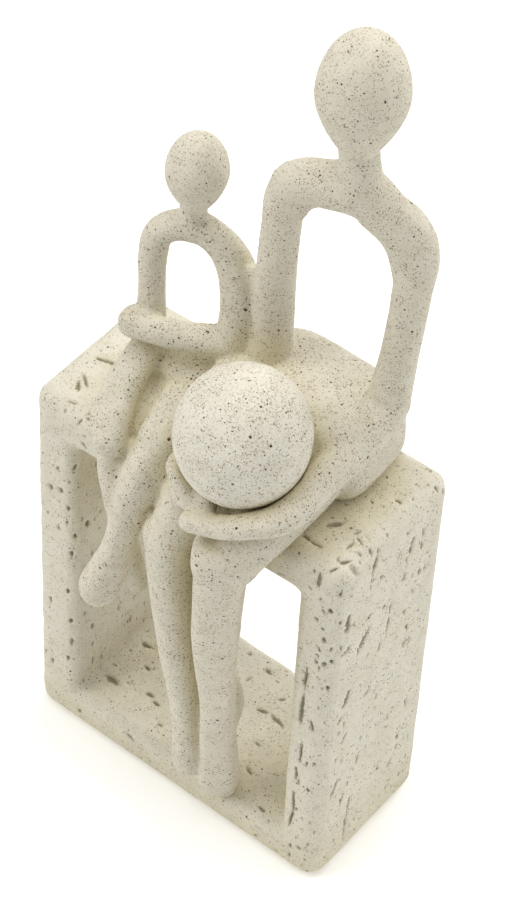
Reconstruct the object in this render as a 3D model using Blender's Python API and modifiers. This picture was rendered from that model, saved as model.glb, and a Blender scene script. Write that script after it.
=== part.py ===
"""A seated mother and child, cast in speckled stone resin, on an open block.

The mother holds a ball, which stands for her unborn child, in her lap.
The origin is the centre of the block's underside; +Z is up and the figures face -Y.
"""

import math

import bmesh
import bpy
from mathutils import Matrix, Vector

# Block, in metres
BLOCK_WIDTH = 0.1022
BLOCK_DEPTH = 0.0485
BLOCK_HEIGHT = 0.134
LEFT_POST = 0.0155
RIGHT_POST = 0.0135
TOP_THICKNESS = 0.0145
BASE_THICKNESS = 0.0145
EDGE_RADIUS = 0.0050
RIM_RADIUS = 0.0038
ROUNDING_STEPS = 4

# Figures: each height is from the seat to the crown
MOTHER_HEIGHT = 0.1412
MOTHER_X = 0.0160
CHILD_HEIGHT = 0.0910
CHILD_X = -0.0180
BALL_DIAMETER = 0.0350
BALL_HEIGHT = 0.0385

# Gaps between pieces that touch
SEAT_CLEARANCE = 0.0003
BALL_CLEARANCE = 0.0003

# Fineness of the cast surface: voxel, smoothing rounds and the share of faces kept
CAST_VOXEL = 0.0010
CAST_SMOOTHING = 6
CAST_FACES_KEPT = 0.077

# The figures are drawn at these heights and places, in millimetres: x from the block's
# centre, y back from the block's front face, z up from the seat
MM = 0.001
MOTHER_DRAWN = 141.2
MOTHER_DRAWN_X = 16.0
CHILD_DRAWN = 91.0
CHILD_DRAWN_X = -18.0

# Corners of a limb's section: 1 is round, and less is squarer
ROUND = 1.0
SOFTENED = 0.86
PLANED = 0.72
SECTION_SIDES = 24

FRONT_Y = -BLOCK_DEPTH / 2
SEAT_Z = BLOCK_HEIGHT
LEG_DROP = BLOCK_HEIGHT - BASE_THICKNESS
BALL_RADIUS = BALL_DIAMETER / 2
BALL_TALLNESS = BALL_HEIGHT / BALL_DIAMETER

CAST_STONE = (0.72, 0.69, 0.58, 1.0)
BALL_STONE = (0.78, 0.75, 0.66, 1.0)
BLOCK_STONE = (0.70, 0.67, 0.55, 1.0)


class Figure:
    """Turns a figure's drawn millimetres into metres, about its place on the seat."""

    def __init__(self, x, drawn_x, height, drawn_height):
        self.x = x
        self.drawn_x = drawn_x
        self.scale = height / MM / drawn_height

    def size(self, drawn):
        return drawn * self.scale * MM

    def place(self, x, y, z):
        across = self.x + self.size(x - self.drawn_x)
        return Vector((across, FRONT_Y + self.size(y), SEAT_Z + self.size(z)))

    def hang(self, x, y, share):
        """A point on a leg, at a share of the way down from the seat to the base."""
        point = self.place(x, y, 0)
        point.z = SEAT_Z - share * LEG_DROP
        return point

    def stations(self, *rows):
        """Points and radii for a limb, from drawn rows of x, y, z and radius."""
        return [(self.place(x, y, z), self.size(radius)) for x, y, z, radius in rows]

    def leg_stations(self, *rows):
        """The same, from rows of x, y, share of the drop and radius."""
        return [(self.hang(x, y, share), self.size(radius)) for x, y, share, radius in rows]


MOTHER = Figure(MOTHER_X, MOTHER_DRAWN_X, MOTHER_HEIGHT, MOTHER_DRAWN)
CHILD = Figure(CHILD_X, CHILD_DRAWN_X, CHILD_HEIGHT, CHILD_DRAWN)
BALL_CENTRE = MOTHER.place(16.6, 3.0, 8.8) + Vector((0, 0, BALL_HEIGHT / 2))


def around_ball(rows):
    """Stations that lie against the ball, from rows of azimuth, elevation, gap and radius."""
    stations = []
    for azimuth, elevation, gap, radius in rows:
        reach = BALL_RADIUS + MOTHER.size(gap + radius)
        turn = Matrix.Rotation(math.radians(azimuth), 3, "Z")
        tip = Matrix.Rotation(-math.radians(elevation), 3, "Y")
        outward = turn @ tip @ Vector((reach, 0, 0))
        outward.z *= BALL_TALLNESS
        stations.append((BALL_CENTRE + outward, MOTHER.size(radius)))
    return stations


def clear_scene():
    for obj in list(bpy.data.objects):
        bpy.data.objects.remove(obj)


def new_collection(name):
    collection = bpy.data.collections.new(name)
    bpy.context.scene.collection.children.link(collection)
    return collection


def stone_material(name, colour):
    material = bpy.data.materials.new(name)
    material.use_nodes = True
    shader = material.node_tree.nodes["Principled BSDF"]
    shader.inputs["Base Color"].default_value = colour
    shader.inputs["Roughness"].default_value = 0.9
    return material


def new_object(collection, name, mesh):
    made = bpy.data.objects.new(name, mesh)
    collection.objects.link(made)
    return made


def smooth(obj):
    obj.data.shade_smooth()
    obj.data.set_sharp_from_angle(angle=math.radians(50))


def rounded(value, corner):
    """A cosine or sine drawn towards the corner of its square."""
    return math.copysign(abs(value) ** corner, value)


def section(corner):
    """The closed outline that a limb is swept from."""
    outline = bpy.data.curves.new("section", "CURVE")
    outline.dimensions = "3D"
    spline = outline.splines.new("POLY")
    spline.points.add(SECTION_SIDES - 1)
    spline.use_cyclic_u = True
    for number, point in enumerate(spline.points):
        angle = math.tau * number / SECTION_SIDES
        point.co = (rounded(math.cos(angle), corner), rounded(math.sin(angle), corner), 0, 1)
    return bpy.data.objects.new("section", outline)


def tube(stations, flatness=1.0, corner=ROUND, turn=0.0):
    """A tube through (point, radius) stations.

    flatness below 1 presses it flat, and turn spins its section, in degrees.
    """
    curve = bpy.data.curves.new("tube", "CURVE")
    curve.dimensions = "3D"
    curve.bevel_mode = "OBJECT"
    curve.bevel_object = section(corner)
    curve.resolution_u = 8
    curve.use_fill_caps = True
    spline = curve.splines.new("BEZIER")
    spline.radius_interpolation = "CARDINAL"
    spline.bezier_points.add(len(stations) - 1)
    for knot, (point, radius) in zip(spline.bezier_points, stations):
        knot.co = (point.x, point.y, point.z / flatness)
        knot.radius = radius
        knot.tilt = math.radians(turn)
        knot.handle_left_type = "AUTO"
        knot.handle_right_type = "AUTO"
    made = bpy.data.objects.new("tube", curve)
    made.matrix_world = Matrix.Diagonal((1, 1, flatness, 1))
    return made


def limb(stations, flatness=1.0, corner=ROUND, turn=0.0):
    """A tube with an egg at each end, so that it ends round."""
    ends = [egg(point, (radius, radius, radius * flatness)) for point, radius in (stations[0], stations[-1])]
    return [tube(stations, flatness, corner, turn), *ends]


def egg(centre, radii, turn=(0, 0, 0), chin=0.0, roundness=1.0):
    """An ellipsoid, turned in degrees.

    chin narrows and lengthens its lower half, and roundness below 1 makes it boxier.
    """
    shape = bmesh.new()
    bmesh.ops.create_uvsphere(shape, u_segments=32, v_segments=20, radius=1.0)
    for vert in shape.verts:
        narrowing = 1 - chin * max(0.0, -vert.co.z) ** 1.3
        vert.co = [math.copysign(abs(value) ** roundness, value) for value in vert.co]
        vert.co.x *= narrowing
        vert.co.y *= narrowing
        if vert.co.z < 0:
            vert.co.z *= 1 + chin / 3
    mesh = bpy.data.meshes.new("egg")
    shape.to_mesh(mesh)
    shape.free()
    made = bpy.data.objects.new("egg", mesh)
    spin = Matrix.Rotation(math.radians(turn[2]), 4, "Z") @ Matrix.Rotation(math.radians(turn[1]), 4, "Y")
    spin = spin @ Matrix.Rotation(math.radians(turn[0]), 4, "X")
    made.matrix_world = Matrix.Translation(centre) @ spin @ Matrix.Diagonal((*radii, 1.0))
    return made


def head(figure, centre, radii, chin):
    return [egg(figure.place(*centre), [figure.size(radius) for radius in radii], chin=chin)]


def lap(figure, centre, radii, tilt=0.0, spin=0.0, roundness=0.6):
    """A soft block, tilted down to the front and spun about the vertical, in degrees."""
    sizes = [figure.size(radius) for radius in radii]
    return [egg(figure.place(*centre), sizes, turn=(tilt, 0, spin), roundness=roundness)]


def mother_forms():
    """The mother: a band of shoulders and arms over a lap, two legs and a head."""
    forms = limb(MOTHER.stations(
        (1.6, 30.5, 22, 7.2),
        (3.2, 30.6, 36, 5.7),
        (4.6, 29.3, 57, 5.2),
        (6.3, 28.0, 76, 5.0),
        (7.7, 27.7, 87.2, 5.2),
        (10.2, 28.2, 92.0, 5.4),
        (17.0, 30.6, 93.6, 6.0),
        (24.6, 33.8, 93.6, 6.4),
        (30.8, 36.6, 88.4, 5.7),
        (35.8, 38.8, 84.2, 5.4),
        (38.2, 39.6, 79.0, 5.2),
        (38.0, 39.4, 65.5, 5.0),
        (36.9, 38.4, 43, 4.9),
        (36.4, 36.4, 28, 5.6),
    ))
    forms += limb(MOTHER.stations((23.2, 33.2, 96.0, 7.0), (23.8, 33.4, 100.5, 5.4), (23.1, 33.4, 107, 5.0)))
    forms += head(MOTHER, (22.9, 33.5, 123.4), (11.3, 11.5, 17.8), chin=0.42)
    forms += limb(MOTHER.stations((9.4, 28.3, 81.5, 3.0), (12.3, 29.0, 87.0, 3.0), (18.0, 30.8, 91.0, 3.0)))
    forms += limb(MOTHER.stations(
        (27.5, 35.2, 88.4, 4.6),
        (33.3, 37.8, 81.8, 4.5),
        (36.4, 38.9, 72.5, 4.3),
        (37.7, 39.2, 60.0, 4.0),
    ))
    forms += lap(MOTHER, (8.2, 27.9, 91.0), (4.2, 4.4, 3.8), roundness=0.6)
    forms += lap(MOTHER, (18.8, 31.5, 13.6), (21.3, 15.5, 14.5), tilt=7, roundness=0.5)
    forms += mother_legs()
    forms += mother_forearms()
    return forms


def mother_legs():
    """Both legs hang down to the base, planed flat in front, the right one set back."""
    forms = limb(MOTHER.stations((17.5, 20, 6, 8.5), (15.0, 4, 0, 6.5), (13.2, 0, -8, 4.4)))
    forms += limb(MOTHER.leg_stations(
        (13.0, -1.0, 0.08, 4.0),
        (12.0, -0.4, 0.45, 3.4),
        (11.4, 1.0, 0.92, 3.4),
    ))
    forms += limb(MOTHER.stations(
        (25.0, 34, 11, 11.0),
        (25.6, 22, 11.5, 11.4),
        (26.0, 9, 8.0, 10.4),
        (24.6, -2, 2.0, 9.2),
        (23.2, -7.4, -5.0, 7.4),
    ))
    forms += lap(MOTHER, (21.3, -8.8, -4.8), (8.2, 6.6, 7.6), tilt=8, spin=30, roundness=0.66)
    forms += limb(MOTHER.leg_stations(
        (21.3, -9.0, 0.04, 7.0),
        (20.9, -9.6, 0.16, 6.6),
        (20.3, -9.2, 0.32, 6.1),
        (19.4, -7.2, 0.46, 5.2),
        (18.3, -4.4, 0.60, 4.7),
        (17.4, -2.4, 0.74, 4.9),
        (16.2, 0.2, 0.86, 5.2),
        (15.6, 1.6, 0.96, 5.4),
    ), corner=PLANED, turn=30)
    toes = [MOTHER.size(radius) for radius in (6.2, 4.6, 6.0)]
    forms.append(egg(MOTHER.hang(14.9, 1.7, 0.96), toes, turn=(0, 0, 20), roundness=0.6))
    forms += limb(MOTHER.leg_stations(
        (17.2, 0.8, 0.58, 3.4),
        (17.4, 3.0, 0.66, 3.6),
        (17.2, 0.6, 0.76, 3.4),
        (17.0, 2.0, 0.90, 3.8),
    ))
    forms += limb(MOTHER.stations(
        (10.0, 34, 10.5, 11.0),
        (9.2, 22, 10.0, 10.0),
        (6.6, 9, 5.5, 9.2),
        (4.8, -1, -2.3, 8.2),
        (3.0, -5.6, -10.8, 7.0),
    ))
    forms += lap(MOTHER, (2.4, -6.2, -13.6), (7.4, 6.6, 7.0), tilt=8, roundness=0.85)
    forms += limb(MOTHER.leg_stations(
        (2.8, -6.6, 0.10, 6.9),
        (3.4, -6.8, 0.22, 6.4),
        (4.6, -6.2, 0.38, 5.8),
        (5.6, -5.2, 0.52, 5.3),
        (6.7, -3.8, 0.66, 4.6),
        (6.9, -2.2, 0.80, 4.5),
        (6.6, -0.6, 0.94, 4.8),
    ), corner=SOFTENED)
    return forms


def mother_forearms():
    """Both forearms curve round the ball, and the right hand lies on the left."""
    left_elbow = MOTHER.stations((36.6, 36.4, 27, 5.6), (35.6, 25, 20.5, 5.8))
    left = limb(left_elbow + around_ball((
        (27, -23, 0.0, 5.0),
        (-17, -33, 0.0, 4.3),
        (-46, -37.5, 0.6, 3.5),
        (-69, -45.5, 1.5, 3.3),
        (-86, -48.5, 2.6, 3.2),
        (-99, -47.5, 4.0, 3.1),
    )), flatness=0.9, corner=SOFTENED)
    right_elbow = MOTHER.stations((1.4, 29, 24, 6.6), (-1.6, 19, 20.5, 5.4))
    right = limb(right_elbow + around_ball((
        (172, -46, 0.0, 3.2),
        (-165, -43, 0.0, 2.8),
        (-149, -36, 0.0, 2.5),
        (-133, -33, 0.0, 2.2),
        (-122, -38, 0.0, 2.0),
        (-112, -46, 0.2, 1.8),
    )), flatness=0.9)
    palm = [MOTHER.size(radius) for radius in (7.8, 3.5, 5.2)]
    return left + right + [egg(MOTHER.place(10.3, -7.2, 10.8), palm, turn=(-28, -22, -6), roundness=0.75)]


def child_forms():
    """The child: the same form, half the size, with one leg crossed over the other."""
    forms = limb(CHILD.stations(
        (-27.0, 20.0, 20, 4.2),
        (-27.4, 20.6, 38, 3.6),
        (-27.5, 21.0, 49, 3.8),
        (-25.8, 22.1, 57.0, 4.0),
        (-18.6, 25.5, 60.6, 4.2),
        (-12.8, 27.4, 58.6, 4.2),
        (-8.0, 28.6, 52.6, 4.9),
        (-5.2, 28.0, 44, 5.2),
        (-4.8, 26.0, 28, 4.8),
    ))
    forms += limb(CHILD.stations((-18.6, 25.5, 60.4, 4.2), (-18.8, 25.5, 65.5, 3.6), (-18.4, 25.5, 70, 3.8)))
    forms += limb(CHILD.stations((-1.8, 28.8, 54, 1.6), (-1.0, 28.8, 44, 3.0), (-0.8, 28.0, 30, 3.0)))
    forms += head(CHILD, (-18.0, 25.5, 79.4), (8.0, 8.2, 11.6), chin=0.34)
    forms += limb(CHILD.stations(
        (-5.4, 25.5, 28.0, 4.6),
        (-13.4, 20.0, 28.6, 4.0),
        (-21.6, 15.8, 29.0, 3.8),
        (-27.2, 14.2, 29.2, 3.8),
    ))
    forms += lap(CHILD, (-28.2, 14.0, 29.2), (3.2, 3.4, 3.8), roundness=0.55)
    forms += lap(CHILD, (-15.5, 24.5, 8.5), (14.5, 9.5, 11.5), tilt=8)
    forms += lap(CHILD, (-3.0, 26, 9), (8.0, 9.0, 11.5))
    forms += limb(CHILD.stations(
        (-18.0, 22, 10.4, 5.6),
        (-17.4, 13, 7.4, 5.2),
        (-15.6, 5, 2.8, 5.0),
        (-15.6, -0.5, -1.5, 4.4),
        (-15.4, -3.0, -8.0, 3.6),
    ))
    forms += limb(CHILD.stations(
        (-23.5, 25, 7, 7.4),
        (-22.6, 12, 5.8, 6.2),
        (-21.8, 2, 3.0, 5.0),
        (-20.2, -2.6, -3.0, 4.4),
        (-17.8, -4.2, -12, 4.0),
        (-15.2, -4.8, -22, 3.6),
        (-13.2, -4.2, -34, 3.3),
        (-12.0, -2.6, -46, 3.4),
    ))
    forms += limb(CHILD.stations(
        (-12.5, 25, 9, 7.6),
        (-11.0, 14, 10.2, 7.0),
        (-8.8, 3, 7.4, 6.6),
    ))
    forms += limb(CHILD.stations(
        (-9.4, 6, 8.6, 6.0),
        (-9.0, -3.2, 0.8, 5.7),
        (-11.0, -5.8, -10, 4.9),
        (-12.8, -6.8, -20, 4.3),
        (-14.6, -7.6, -30, 4.1),
        (-17.6, -8.2, -41, 4.7),
        (-20.2, -8.6, -50, 5.3),
    ), corner=PLANED, turn=42)
    forms += limb(CHILD.stations(
        (-26.4, 19.5, 20.5, 3.8),
        (-25.6, 11, 14.6, 4.8),
        (-24.4, 4, 9.8, 5.4),
        (-22.0, -1.2, 7.2, 5.6),
        (-19.8, -4.2, 5.9, 4.8),
    ), corner=PLANED)
    return forms


def fuse(name, forms):
    """One mesh that holds every form. The forms are removed."""
    guides = bpy.data.collections.new("guides")
    bpy.context.scene.collection.children.link(guides)
    for form in forms:
        guides.objects.link(form)
    bpy.context.view_layer.update()
    graph = bpy.context.evaluated_depsgraph_get()
    whole = bmesh.new()
    for form in forms:
        mesh = bpy.data.meshes.new_from_object(form.evaluated_get(graph))
        mesh.transform(form.matrix_world)
        whole.from_mesh(mesh)
        bpy.data.meshes.remove(mesh)
    for form in forms:
        if form.type == "CURVE":
            bpy.data.objects.remove(form.data.bevel_object)
        bpy.data.objects.remove(form)
    bpy.data.collections.remove(guides)
    bmesh.ops.remove_doubles(whole, verts=whole.verts, dist=0.00001)
    mesh = bpy.data.meshes.new(name)
    whole.to_mesh(mesh)
    whole.free()
    return mesh


def cut(obj, cutter):
    modifier = obj.modifiers.new("cut_by_" + cutter.name, "BOOLEAN")
    modifier.operation = "DIFFERENCE"
    modifier.solver = "EXACT"
    modifier.object = cutter


def hide_cutter(obj):
    obj.display_type = "WIRE"
    obj.hide_render = True
    return obj


def block_mesh(name, grow=0.0):
    """The block: a frame of two posts, a top and a base, grown all round by grow."""
    across = (
        -BLOCK_WIDTH / 2 - grow,
        -BLOCK_WIDTH / 2 + LEFT_POST + grow,
        BLOCK_WIDTH / 2 - RIGHT_POST - grow,
        BLOCK_WIDTH / 2 + grow,
    )
    up = (-grow, BASE_THICKNESS + grow, BLOCK_HEIGHT - TOP_THICKNESS - grow, BLOCK_HEIGHT + grow)
    shape = bmesh.new()
    bmesh.ops.create_grid(shape, x_segments=3, y_segments=3, size=1.5)
    for vert in shape.verts:
        column = round(vert.co.x + 1.5)
        row = round(vert.co.y + 1.5)
        vert.co = Vector((across[column], FRONT_Y - grow, up[row]))
    middle = [face for face in shape.faces if across[1] < face.calc_center_median().x < across[2]
              and up[1] < face.calc_center_median().z < up[2]]
    bmesh.ops.delete(shape, geom=middle, context="FACES_ONLY")
    front = list(shape.faces)
    deep = bmesh.ops.extrude_face_region(shape, geom=front)["geom"]
    moved = [item for item in deep if isinstance(item, bmesh.types.BMVert)]
    bmesh.ops.translate(shape, verts=moved, vec=(0, BLOCK_DEPTH + 2 * grow, 0))
    bmesh.ops.recalc_face_normals(shape, faces=shape.faces)
    weigh_edges(shape, across, up)
    mesh = bpy.data.meshes.new(name)
    shape.to_mesh(mesh)
    shape.free()
    return mesh


def weigh_edges(shape, across, up):
    """Marks the outer edges for the full rounding and the opening's edges for the rim's."""
    weight = shape.edges.layers.float.new("bevel_weight_edge")
    for edge in shape.edges:
        if not edge.is_manifold or edge.calc_face_angle() < math.radians(45):
            continue
        middle = (edge.verts[0].co + edge.verts[1].co) / 2
        outside = min(abs(middle.x - across[0]), abs(middle.x - across[3]),
                      abs(middle.z - up[0]), abs(middle.z - up[3])) < MM / 100
        edge[weight] = 1.0 if outside else RIM_RADIUS / EDGE_RADIUS


def make_block(collection, name, grow=0.0):
    block = new_object(collection, name, block_mesh(name, grow))
    rounding = block.modifiers.new("rounding", "BEVEL")
    rounding.limit_method = "WEIGHT"
    rounding.width = EDGE_RADIUS
    rounding.segments = ROUNDING_STEPS
    smooth(block)
    return block


def make_ball(collection, name, radius):
    shape = bmesh.new()
    bmesh.ops.create_uvsphere(shape, u_segments=32, v_segments=18, radius=radius)
    mesh = bpy.data.meshes.new(name)
    shape.to_mesh(mesh)
    shape.free()
    ball = new_object(collection, name, mesh)
    ball.location = BALL_CENTRE
    ball.scale.z = BALL_TALLNESS
    smooth(ball)
    return ball


def make_figures(collection, cutters):
    """Mother and child are one cast: their forms are fused, softened and cut to fit."""
    forms = mother_forms() + child_forms()
    cast = new_object(collection, "mother_and_child", fuse("mother_and_child", forms))
    remesh = cast.modifiers.new("fuse", "REMESH")
    remesh.mode = "VOXEL"
    remesh.voxel_size = CAST_VOXEL
    soften = cast.modifiers.new("soften", "SMOOTH")
    soften.factor = 0.5
    soften.iterations = CAST_SMOOTHING
    reduce = cast.modifiers.new("reduce", "DECIMATE")
    reduce.ratio = CAST_FACES_KEPT
    for cutter in cutters:
        cut(cast, cutter)
    smooth(cast)
    return cast


def main():
    clear_scene()
    parts = new_collection("maternity_figurine")
    helpers = new_collection("cutters")
    block_room = hide_cutter(make_block(helpers, "block_room", SEAT_CLEARANCE))
    ball_room = hide_cutter(make_ball(helpers, "ball_room", BALL_RADIUS + BALL_CLEARANCE))
    figures = make_figures(parts, (ball_room, block_room))
    figures.data.materials.append(stone_material("cast_stone", CAST_STONE))
    ball = make_ball(parts, "belly_ball", BALL_RADIUS)
    ball.data.materials.append(stone_material("ball_stone", BALL_STONE))
    block = make_block(parts, "frame_block")
    block.data.materials.append(stone_material("block_stone", BLOCK_STONE))


main()
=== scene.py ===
"""The looks of the maternity figurine: speckled cast stone on a pitted block, in a pale studio."""

import math
import random

import bmesh
import bpy
import numpy as np
from mathutils import Matrix, Vector
from mathutils.bvhtree import BVHTree


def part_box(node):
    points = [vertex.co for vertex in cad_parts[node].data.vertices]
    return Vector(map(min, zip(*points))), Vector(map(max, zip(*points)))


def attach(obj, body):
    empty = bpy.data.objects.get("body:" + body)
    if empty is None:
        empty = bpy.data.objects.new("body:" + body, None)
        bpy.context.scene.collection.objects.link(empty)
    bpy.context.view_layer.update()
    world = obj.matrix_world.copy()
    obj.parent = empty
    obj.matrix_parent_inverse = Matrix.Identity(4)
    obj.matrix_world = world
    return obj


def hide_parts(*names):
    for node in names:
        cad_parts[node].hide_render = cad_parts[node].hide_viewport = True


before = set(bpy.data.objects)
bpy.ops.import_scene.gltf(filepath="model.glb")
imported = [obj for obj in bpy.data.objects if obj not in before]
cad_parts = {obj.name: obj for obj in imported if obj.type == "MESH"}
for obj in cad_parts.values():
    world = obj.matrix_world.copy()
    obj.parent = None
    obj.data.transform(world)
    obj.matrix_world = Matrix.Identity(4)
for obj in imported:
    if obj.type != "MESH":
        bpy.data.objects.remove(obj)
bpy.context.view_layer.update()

# The photograph's frame, in pixels, and the camera that took it
PHOTO_WIDTH = 508
PHOTO_HEIGHT = 900
FOCAL_PIXELS = 3155.0
CAMERA_PLACE = Vector((0.32397, -0.43463, 0.74097))
CAMERA_AZIMUTH = 36.308
CAMERA_ELEVATION = 48.592
CAMERA_ROLL = 3.236

MM = 0.001

# Fineness of the meshes, as voxels in metres and rounds of smoothing
FIGURE_VOXEL = 0.00069
FIGURE_ROUNDS = 2
BLOCK_VOXEL = 0.00110
BLOCK_ROUNDS = 3
INWARD_STEP = 0.5
OUTWARD_STEP = -0.52

# Pits strewn over the block besides those that the photograph shows, and how far out
# from a pit's rim each round makes the mesh finer, in millimetres
STREWN_PITS = 900
STREWN_SEED = 7
FINER_MARGINS = (0.9, 0.4)

# How far away a wall still casts painted shade into a hollow of the stone, as a yellower and darker tint, in
# millimetres
BLOCK_SHADE_REACH = 45
CARVED_SHADE_REACH = 14

# The figures' own places and heights, as in the solids, in metres
MOTHER_HEIGHT = 0.1412
MOTHER_X = 0.0160
CHILD_HEIGHT = 0.0910
CHILD_X = -0.0180
BALL_CLEARANCE = 0.0003
SEAT_CLEARANCE = 0.0003
BASE_THICKNESS = 0.0145

# Their forms are drawn at these heights and places, in millimetres: x from the block's
# centre, y back from the block's front face, z up from the seat
MOTHER_DRAWN = 141.2
MOTHER_DRAWN_X = 16.0
CHILD_DRAWN = 91.0
CHILD_DRAWN_X = -18.0
BALL_UNDERSIDE = (16.6, 3.0, 8.8)

# Corners of a limb's section: 1 is round, and less is squarer
ROUND = 1.0
SOFTENED = 0.86
PLANED = 0.72
SECTION_SIDES = 24

BLOCK_LOW, BLOCK_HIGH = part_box("frame_block")
BALL_LOW, BALL_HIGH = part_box("belly_ball")
FRONT_Y = BLOCK_LOW.y
SEAT_Z = BLOCK_HIGH.z
LEG_DROP = SEAT_Z - BASE_THICKNESS
BALL_RADIUS = (BALL_HIGH.x - BALL_LOW.x) / 2
BALL_HEIGHT = BALL_HIGH.z - BALL_LOW.z
BALL_TALLNESS = BALL_HEIGHT / BALL_RADIUS / 2

# Colours of the stone, linear
CAST_COLOUR = (0.690, 0.657, 0.560)
BALL_COLOUR = (0.755, 0.727, 0.643)
BLOCK_COLOUR = (0.715, 0.685, 0.592)
# Painted shade: hollows are multiplied by this yellow tint
CREVICE_SHADE_TINT = (0.96, 0.93, 0.78)
PIT_COLOUR = (0.150, 0.130, 0.080)
BLACK_SPECK = (0.050, 0.030, 0.014)
BROWN_SPECK = (0.200, 0.115, 0.050)
RUST_SPECK = (0.420, 0.220, 0.140)
GREY_SPECK = (0.330, 0.275, 0.180)

# Layers of specks: colour, spacing and radius in millimetres, share of the places that
# hold one, and strength
SPECK_LAYERS = (
    (GREY_SPECK, 0.46, 0.16, 0.48, 0.55),
    (BROWN_SPECK, 0.55, 0.15, 0.44, 0.68),
    (BLACK_SPECK, 0.90, 0.20, 0.26, 0.85),
    (BLACK_SPECK, 2.20, 0.36, 0.08, 0.92),
    (RUST_SPECK, 1.50, 0.28, 0.12, 0.60),
)

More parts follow.
